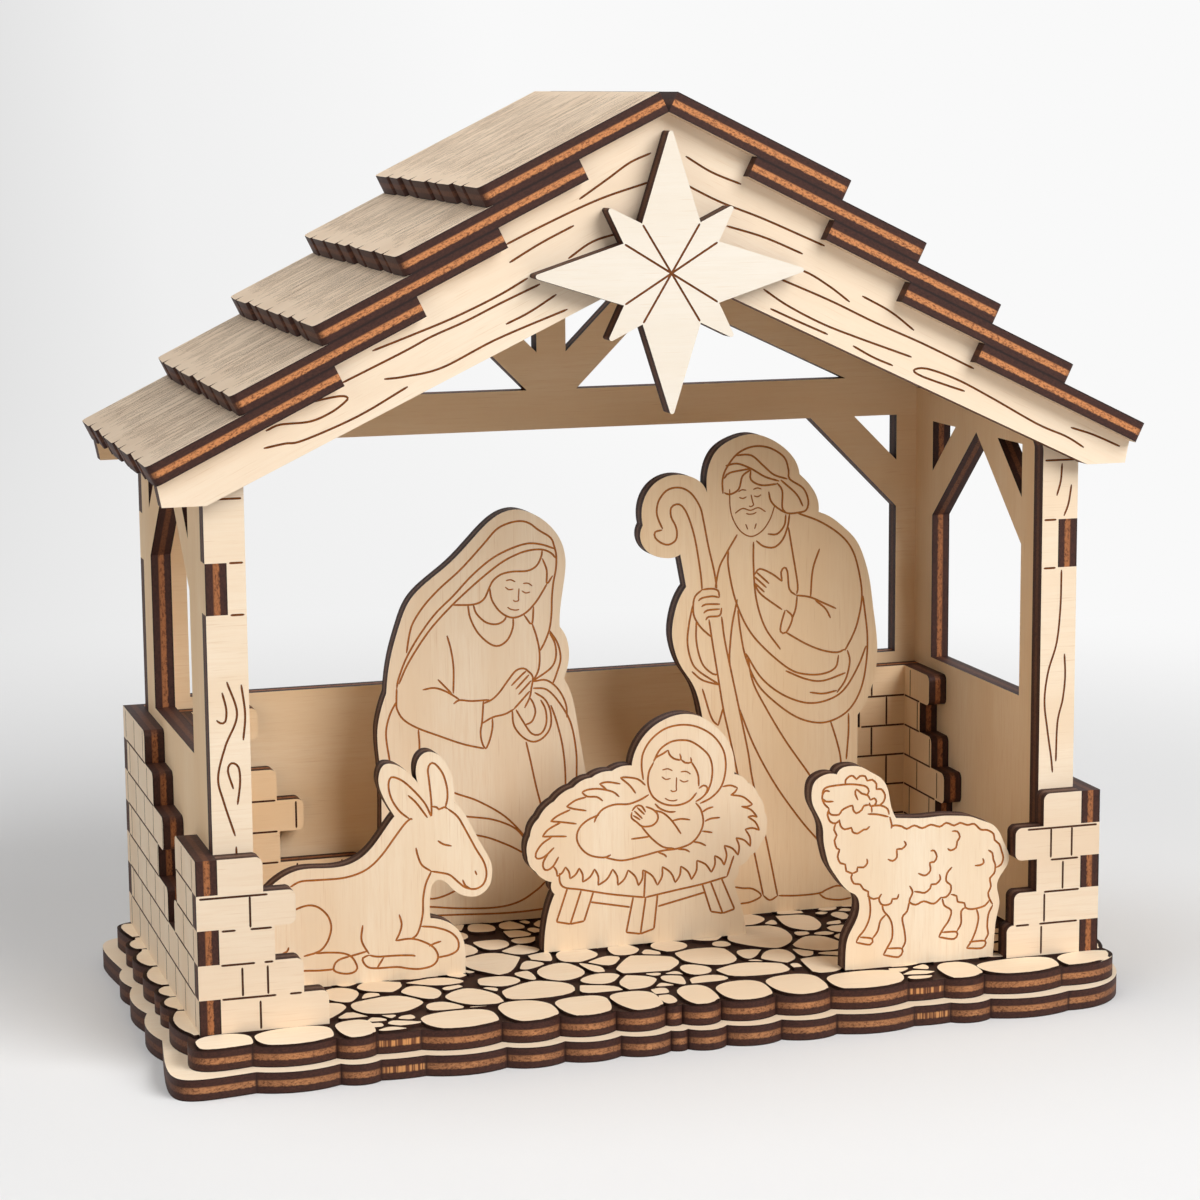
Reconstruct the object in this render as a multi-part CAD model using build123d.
from build123d import *
from math import cos, hypot, radians, sin, sqrt
import os

# A plywood nativity stable that slots together from flat laser-cut sheets: a cobbled base of two
# plates, framed walls, brick corner panels, a stepped roof of plank shingles, a gable star and
# five flat figures that lift out of the floor. Millimetres, +Z up, the front faces -Y, and the
# origin lies on the table under the middle of the base.

# Sheet, fits and cuts
PLY = 3.5                   # thickness of every sheet
FIT = 0.1                   # play of a loose figure's tab in its slot
ROOF_GAP = 0.3              # between the square top of a side wall and the shingles over it
OVERRUN = 1.0               # how far a cutting shape runs past the face that it cuts

# Base plates, whose rims follow a row of stones. Each stone is given by where it starts and how
# far it swells out: on the front and back from left to right, of the upper plate's half width, and
# on the sides from front to back, of the plate's own half depth.
BASE_MARGIN_SIDE = 7.1      # upper plate beyond the side walls
BASE_MARGIN_FRONT = 13.0    # upper plate in front of the front frame
BASE_MARGIN_BACK = 4.5      # upper plate behind the back frame
BASE_LEDGE = 2.5            # lower plate beyond the upper plate
UPPER_SCALLOP = 2.0         # swell of a whole stone on the upper plate
LOWER_SCALLOP = 1.7         # and on the lower plate
CORNER_STRETCH = 1.018      # the corner that a corner stone is drawn towards, of the plate's own corner
UPPER_CORNER_SHARES = (0.5, 0.8, 0.85, 0.75)  # how far it is drawn, from the front right, turning left
LOWER_CORNER_SHARES = (0.52, 0.85, 0.9, 1.0)
FRONT_STONE_SHARES = (
    (-0.871, 1.0), (-0.706, 0.8), (-0.626, 0.2), (-0.537, 1.0), (-0.374, 1.0), (-0.255, 1.0), (-0.139, 1.0),
    (-0.035, 0.4), (0.0, 1.0), (0.082, 1.0), (0.199, 1.0), (0.318, 1.0), (0.487, 0.2), (0.567, 0.8),
    (0.656, 1.0), (0.831, 0.0),
)
BACK_STONE_SHARES = (
    (-0.855, 1.0), (-0.696, 0.9), (-0.567, 0.3), (-0.497, 1.0), (-0.338, 1.0), (-0.199, 1.0), (-0.08, 0.6),
    (0.0, 1.0), (0.139, 1.0), (0.268, 0.4), (0.348, 1.0), (0.497, 0.9), (0.606, 1.0), (0.745, 0.8),
    (0.865, 0.0),
)
UPPER_SIDE_STONE_SHARES = (
    (-0.745, 0.9), (-0.395, 0.8), (-0.212, 0.7), (-0.056, 0.9), (0.234, 0.9), (0.498, 0.8), (0.683, 0.0),
)
LOWER_SIDE_STONE_SHARES = ((-0.486, 0.8), (-0.13, 0.8), (0.235, 0.7), (0.495, 0.0))

# Walls
WALL_WIDTH = 150.0          # over the outer faces of the side walls
WALL_DEPTH = 66.0           # over the front of the front frame and the back of the back frame
WALL_HEIGHT = 92.5          # floor to the lowest shingles, at the outer face of a side wall
SILL_HEIGHT = 42.0          # floor to the window sills
FRONT_POST = 6.5            # width of a front post
POST_CORNER = 3.0           # rounding where a front post meets its rafter
BACK_POST = 7.5             # width of a back post
BRACE = 6.2                 # width of the braces and struts
KNEE_REACH = 17.3           # knee braces of the back frame, up the post and along the tie beam
TIE_RISE = 1.9              # top of the tie beam above the top of the side walls
TIE_DEPTH = 7.2             # depth of the tie beam
KING_POST = 5.5             # width of the king post
STRUT_FOOT = 4.7            # foot of a strut from the middle of the tie beam
SIDE_FRONT_JAMB = 15.0      # side wall in front of its window
SIDE_BACK_JAMB = 11.5       # side wall behind its window
SIDE_BEAM = 5.6             # side wall above its window
SIDE_BRACE_DROP = 17.6      # height of the window's pointed head

# Joints between the sheets
JOINT_LENGTH = 8.3          # height of the side walls' tabs in the front and back frames
JOINT_SHARES = (0.112, 0.725)  # lower ends of those tabs, of the wall height
POST_TENON = 4.0            # width of the tenon under a front post
WALL_TENON = 14.0           # width of the tenons under the side and back walls
WALL_TENON_SHARE = 0.25     # tenons either side of the middle, of the wall's length

# Roof
ROOF_PITCH = 26.0           # degrees
ROWS = 5                    # shingle rows on each side
EAVE = 9.7                  # lowest row beyond the side wall, level
HEADLAP = 0.2               # how far a row reaches under the row two above it
SHINGLE_OVERHANG = 2.5      # shingles in front of the fascia boards
PLANK_NOTCH = 1.6           # depth of the gaps between the plank ends
PLANK_GAP = 0.9             # width of those gaps at their mouths
PLANK_ROUND = 0.6           # rounding of the plank ends
ROW_CORNER = 1.2            # rounding of a row's front and back lower corners
PLANK_SHARES = (0.14, 0.11, 0.13, 0.10, 0.15, 0.12, 0.11, 0.14)  # widths of the planks in a row
RAGGED_SHARES = (0.1, 0.3, 0.0, 0.2, 0.05, 0.35, 0.15, 0.08)  # how far plank ends lean back, of a notch

# Gable boards and star
FASCIA_RIDGE_DEPTH = 24.4   # depth of a fascia board at the ridge
FASCIA_EAVE_DEPTH = 7.5     # depth of a fascia board over the side wall
FASCIA_TAIL_SHARE = 0.72    # level tail of a fascia board, of the eave
EAVE_SETBACK = 0.5          # tail of a fascia board behind the end of the lowest shingles
RAFTER_SETBACK = 1.0        # lower edge of the rafters above that of the fascia boards
STAR_HEADROOM = 2.0         # top point of the star, before rounding, below the shingles
STAR_DROP = 1.0             # middle of the star below the inner peak of the fascia boards
STAR_TIP = 0.4              # rounding of the star's points
STAR_SHORT_SHARE = 0.66     # reach of a short point, of a long one
STAR_VALLEY_SHARE = 0.40    # reach of the valleys between the points
STAR_VALLEY_TURN = 13.5     # degrees from a short point to its valleys

# Brick panels, courses counted from the floor
BRICK_COURSE = 5.7          # height of a course
BRICK_LENGTH = 13.0         # a whole brick
BRICK_ROUND = 1.2           # rounding of bare brick ends
FRONT_LEFT_SHARES = (1.62, 1.31, 0.96, 1.23, 0.83)   # lengths of the courses, of a brick
FRONT_RIGHT_SHARES = (1.32, 1.22, 0.9, 1.21, 0.81)
BACK_SHARES = (2.04, 1.59, 1.84, 1.34, 1.59, 1.14, 0.84)
INNER_BACK_SHARES = (2.86, 2.62, 1.45, 1.79, 1.42, 0.96, 1.18)
INNER_SIDE_SHARES = (1.47, 1.77, 1.18, 1.49, 1.02, 0.59, 0.92)
SIDE_FRONT_SHARES = (0.6, 0.6, 0.30, 0.26, 0.265)    # of the side wall's length
SIDE_BACK_SHARES = (0.6, 0.6, 0.61, 0.49, 0.57, 0.44, 0.33)

# Figures. Each outline is drawn in shares of its size, clockwise from the left end of its foot,
# with its runs given as curves, straight lines or tufts of straw. A place gives the middle and
# the front face, of half the wall width and half the wall depth.
FIGURE_TAB = 8.0            # width of each of the two tabs under a figure
FIGURE_TAB_SHARE = 0.25     # middle of a tab from the middle of the foot, of the foot's length
TUFT = 0.35                 # swell of a tuft of straw
SHEEP_GAP = 0.3             # between the sheep's rump and the bricks beside it
SHEEP_BRICK = 3             # number of the course that its rump stands beside

WOMAN_SIZE = 100.0
WOMAN_PLACE_SHARES = (-0.235, 0.455)
WOMAN_OUTLINE_SHARES = (
    ("curve", ((-0.192, 0.0), (-0.188, 0.20), (-0.189, 0.30), (-0.192, 0.37), (-0.184, 0.407),
               (-0.175, 0.432))),
    ("curve", ((-0.175, 0.432), (-0.165, 0.50), (-0.15, 0.55), (-0.13, 0.595), (-0.10, 0.625), (-0.06, 0.655),
               (-0.02, 0.693), (0.01, 0.723), (0.04, 0.743), (0.065, 0.748), (0.095, 0.74), (0.13, 0.715),
               (0.15, 0.685), (0.157, 0.655), (0.154, 0.615), (0.147, 0.57), (0.145, 0.533))),
    ("curve", ((0.145, 0.533), (0.158, 0.51), (0.162, 0.48), (0.158, 0.455), (0.152, 0.438))),
    ("curve", ((0.152, 0.438), (0.165, 0.41), (0.174, 0.37), (0.18, 0.33), (0.19, 0.27), (0.20, 0.12),
               (0.205, 0.0))),
)

MAN_SIZE = 99.0
MAN_PLACE_SHARES = (0.417, 0.152)
MAN_OUTLINE_SHARES = (
    ("curve", ((-0.09, 0.0), (-0.095, 0.19), (-0.112, 0.385), (-0.13, 0.44), (-0.15, 0.47), (-0.162, 0.50),
               (-0.167, 0.53), (-0.164, 0.56), (-0.155, 0.59), (-0.14, 0.615))),
    ("line", ((-0.14, 0.615), (-0.151, 0.674))),
    ("curve", ((-0.151, 0.674), (-0.165, 0.669), (-0.185, 0.67), (-0.205, 0.677), (-0.222, 0.695),
               (-0.226, 0.715), (-0.221, 0.73))),
    ("curve", ((-0.221, 0.73), (-0.223, 0.755), (-0.217, 0.78), (-0.20, 0.803), (-0.17, 0.817),
               (-0.14, 0.816), (-0.115, 0.805), (-0.10, 0.783))),
    ("curve", ((-0.10, 0.783), (-0.101, 0.805), (-0.097, 0.83), (-0.08, 0.86), (-0.05, 0.878),
               (-0.015, 0.885), (0.02, 0.875), (0.05, 0.855), (0.07, 0.83), (0.076, 0.809))),
    ("curve", ((0.076, 0.809), (0.095, 0.79), (0.11, 0.765), (0.113, 0.738))),
    ("curve", ((0.113, 0.738), (0.135, 0.729), (0.16, 0.71), (0.185, 0.685), (0.202, 0.65), (0.213, 0.61),
               (0.22, 0.56), (0.227, 0.51), (0.229, 0.48), (0.225, 0.435), (0.215, 0.40), (0.20, 0.37),
               (0.191, 0.359))),
    ("line", ((0.191, 0.359), (0.19, 0.0))),
)

MANGER_SIZE = 50.0
MANGER_PLACE_SHARES = (0.08, -0.227)
MANGER_OUTLINE_SHARES = (
    ("curve", ((-0.382, 0.0), (-0.38, 0.05), (-0.374, 0.10), (-0.36, 0.16), (-0.342, 0.206))),
    ("tufts", ((-0.342, 0.206), (-0.352, 0.25), (-0.41, 0.292), (-0.438, 0.345), (-0.428, 0.42),
               (-0.396, 0.48), (-0.34, 0.536), (-0.27, 0.58), (-0.204, 0.61), (-0.13, 0.628),
               (-0.058, 0.642))),
    ("curve", ((-0.058, 0.642), (-0.03, 0.72), (0.01, 0.766), (0.07, 0.80), (0.14, 0.812), (0.20, 0.796),
               (0.25, 0.76), (0.29, 0.716), (0.312, 0.67), (0.32, 0.63), (0.32, 0.584))),
    ("tufts", ((0.32, 0.584), (0.37, 0.55), (0.41, 0.50), (0.432, 0.44), (0.44, 0.38), (0.42, 0.33),
               (0.38, 0.286), (0.336, 0.25), (0.318, 0.198))),
    ("curve", ((0.318, 0.198), (0.324, 0.17), (0.344, 0.11), (0.36, 0.04), (0.364, 0.0))),
)

DONKEY_SIZE = 50.0
DONKEY_PLACE_SHARES = (-0.60, -0.47)
DONKEY_OUTLINE_SHARES = (
    ("curve", ((-0.42, 0.0), (-0.43, 0.12), (-0.416, 0.25), (-0.38, 0.326), (-0.33, 0.374), (-0.26, 0.406),
               (-0.14, 0.406), (-0.08, 0.414), (-0.03, 0.44), (0.01, 0.48), (0.076, 0.566))),
    ("curve", ((0.076, 0.566), (0.054, 0.604), (0.034, 0.646), (0.024, 0.686), (0.028, 0.72), (0.044, 0.744),
               (0.07, 0.746), (0.104, 0.73), (0.134, 0.704), (0.158, 0.676))),
    ("curve", ((0.158, 0.676), (0.153, 0.70), (0.155, 0.736), (0.17, 0.766), (0.194, 0.778), (0.224, 0.77),
               (0.254, 0.74), (0.276, 0.69), (0.284, 0.64), (0.284, 0.598))),
    ("curve", ((0.284, 0.598), (0.306, 0.576), (0.33, 0.536), (0.36, 0.476), (0.39, 0.42), (0.41, 0.374),
               (0.412, 0.34), (0.404, 0.304), (0.38, 0.276), (0.35, 0.266), (0.32, 0.27), (0.29, 0.284),
               (0.266, 0.306), (0.244, 0.328), (0.224, 0.334), (0.204, 0.32), (0.196, 0.29), (0.192, 0.24),
               (0.194, 0.204))),
    ("curve", ((0.194, 0.204), (0.24, 0.192), (0.28, 0.166), (0.304, 0.13), (0.314, 0.08), (0.314, 0.0))),
)

SHEEP_SIZE = 49.0
SHEEP_PLACE_SHARE = -1.045  # front face only: the bricks set the sheep's place across
SHEEP_OUTLINE_SHARES = (
    ("curve", ((-0.24, 0.0), (-0.238, 0.07), (-0.23, 0.116), (-0.21, 0.156), (-0.194, 0.19), (-0.188, 0.226),
               (-0.194, 0.254), (-0.22, 0.276))),
    ("curve", ((-0.22, 0.276), (-0.25, 0.304), (-0.276, 0.34), (-0.30, 0.38), (-0.314, 0.426), (-0.322, 0.47),
               (-0.324, 0.51), (-0.346, 0.566), (-0.362, 0.60), (-0.366, 0.64), (-0.356, 0.676),
               (-0.33, 0.696), (-0.274, 0.698))),
    ("curve", ((-0.274, 0.698), (-0.26, 0.716), (-0.224, 0.724), (-0.18, 0.716), (-0.15, 0.698),
               (-0.114, 0.676), (-0.09, 0.644), (-0.08, 0.61), (-0.074, 0.576), (-0.064, 0.546),
               (-0.054, 0.528))),
    ("curve", ((-0.054, 0.528), (-0.01, 0.524), (0.06, 0.52), (0.12, 0.522), (0.18, 0.518), (0.23, 0.51),
               (0.27, 0.494), (0.31, 0.476), (0.338, 0.444), (0.356, 0.404), (0.374, 0.36), (0.37, 0.332),
               (0.346, 0.296), (0.33, 0.26), (0.34, 0.196), (0.334, 0.16), (0.326, 0.12), (0.322, 0.07),
               (0.316, 0.0))),
)

# Levels and faces that the pieces share
FLOOR = 2 * PLY
HALF = WALL_WIDTH / 2
BASE_HALF_X = HALF + BASE_MARGIN_SIDE
BASE_HALF_Y = (BASE_MARGIN_FRONT + WALL_DEPTH + BASE_MARGIN_BACK) / 2
FRONT = BASE_MARGIN_FRONT - BASE_HALF_Y
BACK = BASE_HALF_Y - BASE_MARGIN_BACK
MIDDLE = (FRONT + BACK) / 2
WALL_TOP = FLOOR + WALL_HEIGHT
SILL = FLOOR + SILL_HEIGHT
FASCIA_FRONT = FRONT - PLY
STAR_FRONT = FASCIA_FRONT - PLY

# The roof: distances run down the slope from the ridge, and each row lies one sheet lower
SLOPE_ACROSS = cos(radians(ROOF_PITCH))
SLOPE_DOWN = sin(radians(ROOF_PITCH))
ROOF_LENGTH = (HALF + EAVE + (ROWS - 2) * PLY * SLOPE_DOWN) / SLOPE_ACROSS
EXPOSURE = (ROOF_LENGTH - HEADLAP) / (ROWS + 1)
ROW_LENGTH = 2 * EXPOSURE + HEADLAP
WALL_RUN = (HALF + (ROWS - 1) * PLY * SLOPE_DOWN) / SLOPE_ACROSS
RIDGE = WALL_TOP + WALL_RUN * SLOPE_DOWN + (ROWS - 1) * PLY * SLOPE_ACROSS

# Lower edges of the gable boards, and the star on them
FASCIA_PEAK = RIDGE - FASCIA_RIDGE_DEPTH
FASCIA_FOOT = WALL_TOP - FASCIA_EAVE_DEPTH
RAFTER_PEAK = FASCIA_PEAK + RAFTER_SETBACK
RAFTER_FALL = (FASCIA_PEAK - FASCIA_FOOT) / HALF
STAR_MIDDLE = FASCIA_PEAK - STAR_DROP
STAR_REACH = RIDGE - STAR_HEADROOM - STAR_MIDDLE


def polygon(points):
    return make_face(Polyline(*points, close=True))


def upright(face, front):
    """Sheet that faces the front, from a drawing with x across and y up."""
    plane = Plane(origin=(0, front + PLY, 0), x_dir=(1, 0, 0), z_dir=(0, -1, 0))
    return extrude(plane * face, PLY)


def sideways(face, left):
    """Sheet that faces the side, from a drawing with x to the back and y up."""
    plane = Plane(origin=(left, 0, 0), x_dir=(0, 1, 0), z_dir=(1, 0, 0))
    return extrude(plane * face, PLY)


def mirrored(points):
    """The same points on the other side of the middle, in the opposite order."""
    return [(-x, y) for x, y in reversed(points)]


def swelling_arc(start, end, swell):
    """Arc that swells out to the right of the way from start to end."""
    chord = Vector(*end) - Vector(*start)
    out = Vector(chord.Y, -chord.X).normalized()
    middle = (Vector(*start) + Vector(*end)) / 2
    return ThreePointArc(start, middle + out * swell, end)


def scalloped_plate(ledge, scallop, side_stones, corner_shares, low):
    """Base plate whose rim follows stones, with a larger stone round each corner."""
    half_x = BASE_HALF_X + ledge
    half_y = BASE_HALF_Y + ledge
    front = [(share * BASE_HALF_X, scallop - half_y, swell) for share, swell in FRONT_STONE_SHARES]
    side = [(half_x - scallop, share * half_y, swell) for share, swell in side_stones]
    back = [(share * BASE_HALF_X, half_y - scallop, swell) for share, swell in BACK_STONE_SHARES]
    corners = ((half_x, -half_y), (half_x, half_y), (-half_x, half_y), (-half_x, -half_y))
    edges = []
    rims = ((front, 1), (side, 1), (back, -1), ([(-x, y, swell) for x, y, swell in side], -1))
    for number, (stones, way) in enumerate(rims):
        arcs = [swelling_arc(stone[:2], after[:2], way * stone[2] * scallop)
                for stone, after in zip(stones, stones[1:])]
        edges += arcs[::way]
        following, turn = rims[(number + 1) % len(rims)]
        start = Vector(*stones[-1 if way > 0 else 0][:2])
        end = Vector(*following[0 if turn > 0 else -1][:2])
        corner = Vector(*corners[number]) * CORNER_STRETCH
        pull = corner_shares[number]
        edges.append(Bezier(start, start + (corner - start) * pull, end + (corner - end) * pull, end))
    return Pos(0, 0, low) * extrude(make_face(edges), PLY)


def tenon(x, y, across, along):
    """Tenon through the upper base plate."""
    return Pos(x, y, PLY) * Box(across, along, FLOOR - PLY, align=(Align.CENTER, Align.CENTER, Align.MIN))


def front_tenons():
    x = HALF - FRONT_POST / 2
    return [tenon(side * x, FRONT + PLY / 2, POST_TENON, PLY) for side in (-1, 1)]


def back_tenons():
    x = WALL_TENON_SHARE * WALL_WIDTH
    return [tenon(side * x, BACK - PLY / 2, WALL_TENON, PLY) for side in (-1, 1)]


def side_tenons(side):
    y = WALL_TENON_SHARE * WALL_DEPTH
    return [tenon(side * (HALF - PLY / 2), MIDDLE + end * y, PLY, WALL_TENON) for end in (-1, 1)]


def roof_point(row, run):
    """Point under a shingle row on the right-hand slope."""
    x = run * SLOPE_ACROSS - row * PLY * SLOPE_DOWN
    z = RIDGE - run * SLOPE_DOWN - row * PLY * SLOPE_ACROSS
    return (x, z)


def stepped_slope(last_run):
    """Right-hand top edge of a gable board, stepped to carry each shingle row."""
    points = []
    for row in range(ROWS):
        end = last_run if row == ROWS - 1 else (row + 1) * EXPOSURE
        points += [roof_point(row, row * EXPOSURE), roof_point(row, end)]
    return points


def fascia_edge():
    """Right-hand half of a fascia board, from the ridge round the tail to the inner peak."""
    tail = HALF + FASCIA_TAIL_SHARE * EAVE
    return stepped_slope(ROOF_LENGTH - EAVE_SETBACK) + [(tail, FASCIA_FOOT), (HALF, FASCIA_FOOT)]


def rafter_height(x):
    """Lower edge of the rafters at a distance from the middle."""
    return RAFTER_PEAK - RAFTER_FALL * x


def joint_notches():
    """Openings in a frame's outer edges for the side walls' tabs."""
    notches = []
    for share in JOINT_SHARES:
        low = FLOOR + share * WALL_HEIGHT
        notch = polygon([(HALF - PLY, low), (HALF + OVERRUN, low), (HALF + OVERRUN, low + JOINT_LENGTH),
                         (HALF - PLY, low + JOINT_LENGTH)])
        notches += [notch, mirror(notch, about=Plane.YZ)]
    return notches


def front_frame():
    inner = HALF - FRONT_POST
    right = stepped_slope(WALL_RUN) + [(HALF, FLOOR), (inner, FLOOR)]
    corner = (inner, rafter_height(inner))
    outline = right + [corner, (0, RAFTER_PEAK)] + mirrored(right + [corner])[:-1]
    face = polygon(outline)
    bends = face.vertices().sort_by(lambda vertex: hypot(abs(vertex.X) - corner[0], vertex.Y - corner[1]))[:2]
    face = fillet(bends, POST_CORNER) - joint_notches()
    return upright(face, FRONT) + front_tenons()


def back_frame():
    tie_top = WALL_TOP + TIE_RISE
    tie_low = tie_top - TIE_DEPTH
    jamb = HALF - BACK_POST
    right = fascia_edge() + [(HALF, FLOOR)]
    face = polygon(right + mirrored(right)[:-1]) - joint_notches()

    # Window under the tie beam, cut across its upper corners by the knee braces
    head = [(jamb, SILL), (jamb, tie_low - KNEE_REACH), (jamb - KNEE_REACH, tie_low)]
    face -= polygon(head + mirrored(head))

    # Holes between the knee braces and the posts
    leg = KNEE_REACH - BRACE * sqrt(2)
    knee = polygon([(jamb, tie_low), (jamb - leg, tie_low), (jamb, tie_low - leg)])

    # Gaps of the truss: below a strut, and between a strut and the king post
    strut_rise = BRACE * sqrt(2) - STRUT_FOOT
    low_meet = (RAFTER_PEAK - tie_top + STRUT_FOOT) / (1 + RAFTER_FALL)
    high_meet = (RAFTER_PEAK - tie_top - strut_rise) / (1 + RAFTER_FALL)
    tie_end = (RAFTER_PEAK - tie_top) / RAFTER_FALL
    below = polygon([(STRUT_FOOT, tie_top), (tie_end, tie_top), (low_meet, rafter_height(low_meet))])
    beside = polygon([(KING_POST / 2, tie_top + KING_POST / 2 + strut_rise),
                      (high_meet, rafter_height(high_meet)), (KING_POST / 2, rafter_height(KING_POST / 2))])
    for hole in (knee, below, beside):
        face -= [hole, mirror(hole, about=Plane.YZ)]
    return upright(face, BACK - PLY) + back_tenons()


def side_wall(side):
    top = WALL_TOP - ROOF_GAP
    beam = top - SIDE_BEAM
    front_jamb = FRONT + SIDE_FRONT_JAMB
    back_jamb = BACK - SIDE_BACK_JAMB
    middle = (front_jamb + back_jamb) / 2
    reach = back_jamb - middle
    spring = beam - SIDE_BRACE_DROP
    face = polygon([(FRONT + PLY, FLOOR), (BACK - PLY, FLOOR), (BACK - PLY, top), (FRONT + PLY, top)])
    for share in JOINT_SHARES:
        low = FLOOR + share * WALL_HEIGHT
        face += polygon([(FRONT, low), (BACK, low), (BACK, low + JOINT_LENGTH), (FRONT, low + JOINT_LENGTH)])
    face -= polygon([(front_jamb, SILL), (back_jamb, SILL), (back_jamb, spring), (middle, beam),
                     (front_jamb, spring)])

    # Holes between the braces, the jambs and the beam
    rise = BRACE * hypot(reach, SIDE_BRACE_DROP) / reach
    height = SIDE_BRACE_DROP - rise
    width = height * reach / SIDE_BRACE_DROP
    for jamb, way in ((front_jamb, 1), (back_jamb, -1)):
        face -= polygon([(jamb, beam), (jamb, beam - height), (jamb + way * width, beam)])
    left = -HALF if side < 0 else HALF - PLY
    return sideways(face, left) + side_tenons(side)


def fascia(side):
    right = fascia_edge() + [(0, FASCIA_PEAK)]
    points = right if side > 0 else mirrored(right)
    return upright(polygon(points), FASCIA_FRONT)


def star():
    points = []
    for quarter in range(4):
        turn = 90 * quarter
        points += [Vector(STAR_REACH, 0).rotate(Axis.Z, turn),
                   Vector(STAR_REACH * STAR_VALLEY_SHARE, 0).rotate(Axis.Z, turn + 45 - STAR_VALLEY_TURN),
                   Vector(STAR_REACH * STAR_SHORT_SHARE, 0).rotate(Axis.Z, turn + 45),
                   Vector(STAR_REACH * STAR_VALLEY_SHARE, 0).rotate(Axis.Z, turn + 45 + STAR_VALLEY_TURN)]
    face = make_face(Polyline(*points, close=True))
    tips = face.vertices().sort_by(lambda vertex: hypot(vertex.X, vertex.Y))[-8:]
    return upright(Pos(0, STAR_MIDDLE) * fillet(tips, STAR_TIP), STAR_FRONT)


def shingle_row(side, row):
    """Row of planks with ragged lower ends, lying on the row below it and on the stepped gables."""
    front = FASCIA_FRONT - SHINGLE_OVERHANG
    width = BACK - front
    low_end = row * EXPOSURE + ROW_LENGTH
    turn = 2 * row + (3 if side > 0 else 0)
    shares = PLANK_SHARES[turn % len(PLANK_SHARES):] + PLANK_SHARES[:turn % len(PLANK_SHARES)]
    points = [(row * EXPOSURE, BACK), (row * EXPOSURE, front)]
    edge = front
    for number, share in enumerate(shares):
        lean = RAGGED_SHARES[(number + turn) % len(RAGGED_SHARES)] * PLANK_NOTCH
        near = edge if number == 0 else edge + PLANK_GAP / 2
        edge += share * width
        last = number == len(shares) - 1
        far = BACK if last else edge - PLANK_GAP / 2
        points += [(low_end, near), (low_end - lean, far)]
        if not last:
            points.append((low_end - PLANK_NOTCH, edge))
    plane = Plane(origin=(0, 0, RIDGE), x_dir=(side * SLOPE_ACROSS, 0, -SLOPE_DOWN),
                  z_dir=(side * SLOPE_DOWN, 0, SLOPE_ACROSS))
    face = polygon([(run, side * y) for run, y in points])
    notch_floor = low_end - PLANK_NOTCH + PLANK_ROUND
    corners = [vertex for vertex in face.vertices().sort_by(Axis.Y) if vertex.X > notch_floor]
    face = fillet(corners[1:-1], PLANK_ROUND)
    corners = [vertex for vertex in face.vertices().sort_by(Axis.Y) if vertex.X > notch_floor]
    face = fillet([corners[0], corners[-1]], ROW_CORNER)
    return plane.offset(-row * PLY) * extrude(face, PLY)


def brick_courses(corner, way, lengths, setbacks):
    """Courses that run from a corner along a wall, with their bare free ends rounded."""
    panel = Sketch()
    for number, length in enumerate(lengths):
        low = FLOOR + number * BRICK_COURSE
        near = corner + way * setbacks[number]
        far = corner + way * length
        brick = polygon([(near, low), (far, low), (far, low + BRICK_COURSE), (near, low + BRICK_COURSE)])
        below = lengths[number - 1] if number else length
        above = lengths[number + 1] if number + 1 < len(lengths) else 0
        low_end, high_end = brick.vertices().sort_by(Axis.X, reverse=way < 0)[-2:].sort_by(Axis.Y)
        bare = [end for end, beside in ((low_end, below), (high_end, above)) if beside < length - BRICK_ROUND]
        panel += fillet(bare, BRICK_ROUND) if bare else brick
    return panel


def interlock(lengths, first):
    """How far each course stands back at an outer corner, where two panels take turns to reach it."""
    return [PLY if number % 2 == first else 0 for number in range(len(lengths))]


def facing_bricks(side, shares, front):
    """Outer panel on the front or back, from the corner towards the middle."""
    lengths = [share * BRICK_LENGTH for share in shares]
    panel = brick_courses(side * (HALF + PLY), -side, lengths, interlock(lengths, 0))
    return upright(panel, front)


def side_bricks(side):
    """Outer panel on a side wall: a front and a back tower on two whole courses."""
    length = WALL_DEPTH + 2 * PLY
    towers = Sketch()
    for corner, way, shares in ((FRONT - PLY, 1, SIDE_FRONT_SHARES), (BACK + PLY, -1, SIDE_BACK_SHARES)):
        lengths = [share * length for share in shares]
        towers += brick_courses(corner, way, lengths, interlock(lengths, 1))
    return sideways(towers, HALF if side > 0 else -HALF - PLY)


def inner_back_bricks(side):
    lengths = [share * BRICK_LENGTH for share in INNER_BACK_SHARES]
    panel = brick_courses(side * (HALF - PLY), -side, lengths, [0] * len(lengths))
    return upright(panel, BACK - 2 * PLY)


def inner_side_bricks(side):
    lengths = [share * BRICK_LENGTH for share in INNER_SIDE_SHARES]
    panel = brick_courses(BACK - 2 * PLY, -1, lengths, [0] * len(lengths))
    return sideways(panel, HALF - 2 * PLY if side > 0 else PLY - HALF)


def figure_face(outline, size):
    """Cut-out drawn about its own middle, standing on the floor."""
    edges = []
    for kind, shares in outline:
        points = [(x * size, FLOOR + z * size) for x, z in shares]
        if kind == "curve":
            edges.append(Spline(*points))
        elif kind == "line":
            edges.append(Line(*points))
        else:
            edges += [swelling_arc(start, end, -TUFT) for start, end in zip(points, points[1:])]
    edges.append(Line(edges[-1] @ 1, edges[0] @ 0))
    return make_face(edges)


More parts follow.
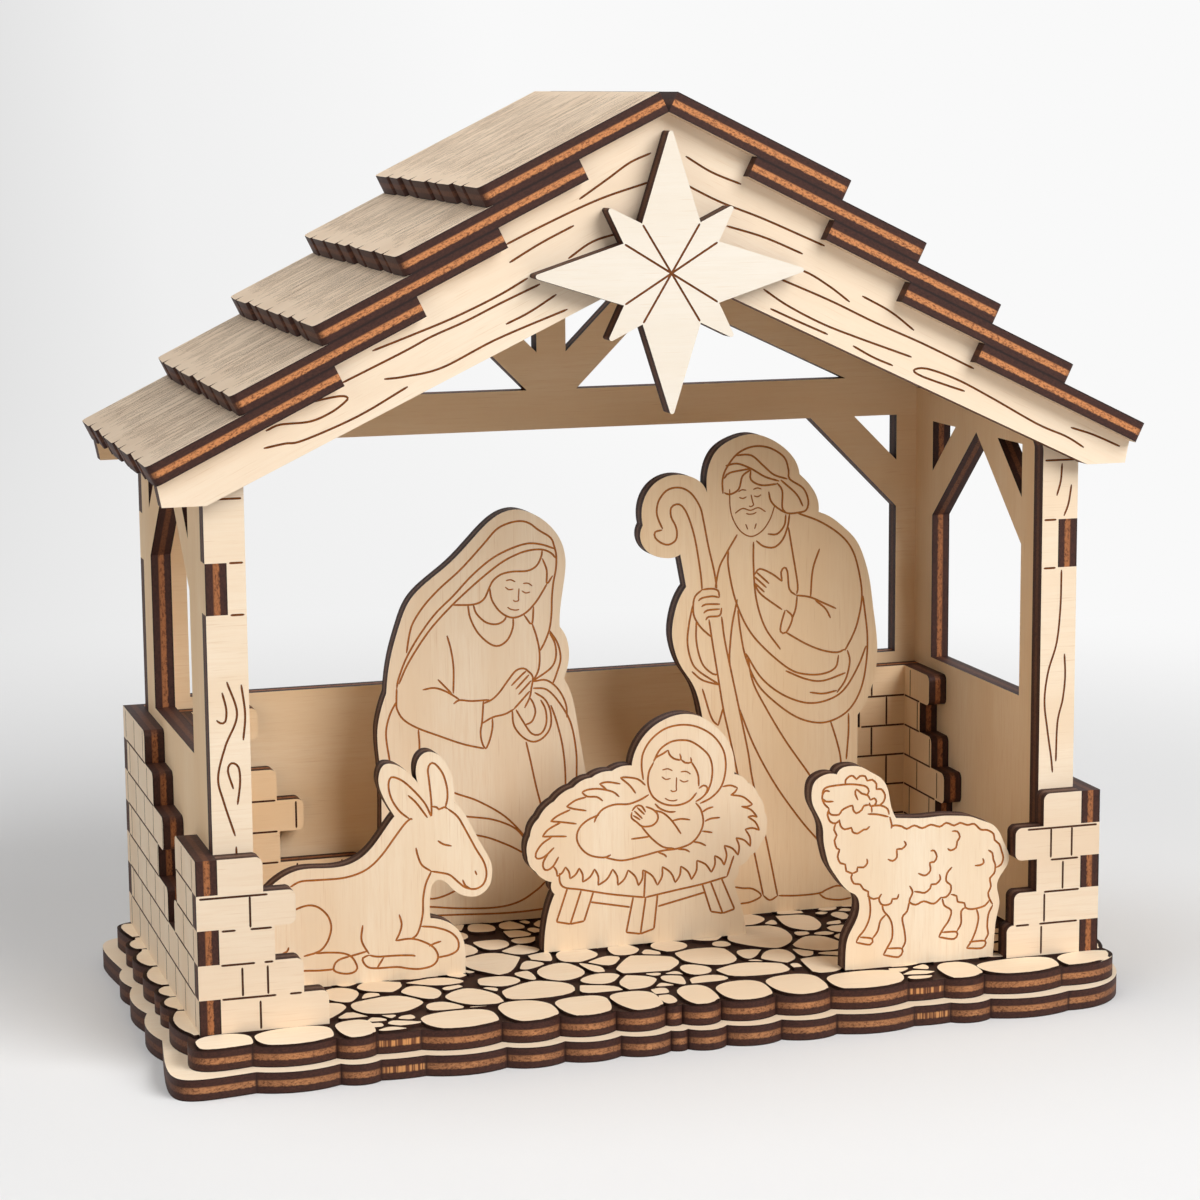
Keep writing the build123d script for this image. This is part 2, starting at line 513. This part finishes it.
def figure_tabs(outline, size, x, front, play):
    """The two tabs under a figure or, with play all round, the slots that take them."""
    left = outline[0][1][0][0] * size
    right = outline[-1][1][-1][0] * size
    middle = x + (left + right) / 2
    offset = FIGURE_TAB_SHARE * (right - left)
    tab = Box(FIGURE_TAB + 2 * play, PLY + 2 * play, PLY - FIT + play,
              align=(Align.CENTER, Align.CENTER, Align.MAX))
    return [Pos(middle + side * offset, front + PLY / 2, FLOOR) * tab for side in (-1, 1)]


def sheep_place():
    """Middle of the sheep, set by the free end of the bricks beside its rump."""
    bricks = HALF + PLY - FRONT_RIGHT_SHARES[SHEEP_BRICK] * BRICK_LENGTH
    rump = max(x for run in SHEEP_OUTLINE_SHARES for x, z in run[1]) * SHEEP_SIZE
    return (bricks - SHEEP_GAP - rump, MIDDLE + SHEEP_PLACE_SHARE * WALL_DEPTH / 2)


def place(shares):
    return (shares[0] * HALF, MIDDLE + shares[1] * WALL_DEPTH / 2)


FIGURES = {
    "kneeling_woman": (WOMAN_OUTLINE_SHARES, WOMAN_SIZE, place(WOMAN_PLACE_SHARES)),
    "standing_man": (MAN_OUTLINE_SHARES, MAN_SIZE, place(MAN_PLACE_SHARES)),
    "child_in_manger": (MANGER_OUTLINE_SHARES, MANGER_SIZE, place(MANGER_PLACE_SHARES)),
    "donkey": (DONKEY_OUTLINE_SHARES, DONKEY_SIZE, place(DONKEY_PLACE_SHARES)),
    "sheep": (SHEEP_OUTLINE_SHARES, SHEEP_SIZE, sheep_place()),
}


def figure(outline, size, x, front):
    return upright(Pos(x, 0) * figure_face(outline, size), front) + figure_tabs(outline, size, x, front, 0)


def base_lower():
    return scalloped_plate(BASE_LEDGE, LOWER_SCALLOP, LOWER_SIDE_STONE_SHARES, LOWER_CORNER_SHARES, 0)


def base_upper():
    plate = scalloped_plate(0, UPPER_SCALLOP, UPPER_SIDE_STONE_SHARES, UPPER_CORNER_SHARES, PLY)
    plate -= front_tenons() + back_tenons() + side_tenons(-1) + side_tenons(1)
    for outline, size, (x, front) in FIGURES.values():
        plate -= figure_tabs(outline, size, x, front, FIT)
    return plate


def stable_parts():
    parts = {
        "base_lower": base_lower(),
        "base_upper": base_upper(),
        "front_frame": front_frame(),
        "back_frame": back_frame(),
        "star": star(),
        "front_left_bricks": facing_bricks(-1, FRONT_LEFT_SHARES, FRONT - PLY),
        "front_right_bricks": facing_bricks(1, FRONT_RIGHT_SHARES, FRONT - PLY),
    }
    for name, side in (("left", -1), ("right", 1)):
        parts[f"{name}_wall"] = side_wall(side)
        parts[f"{name}_fascia"] = fascia(side)
        parts[f"{name}_side_bricks"] = side_bricks(side)
        parts[f"back_{name}_bricks"] = facing_bricks(side, BACK_SHARES, BACK)
        parts[f"inner_back_{name}_bricks"] = inner_back_bricks(side)
        parts[f"inner_{name}_bricks"] = inner_side_bricks(side)
        for row in range(ROWS):
            parts[f"{name}_shingles_{row + 1}"] = shingle_row(side, row)
    for name, (outline, size, (x, front)) in FIGURES.items():
        parts[name] = figure(outline, size, x, front)
    return parts


os.makedirs("parts", exist_ok=True)
for name, part in stable_parts().items():
    export_step(part, f"parts/{name}.step")
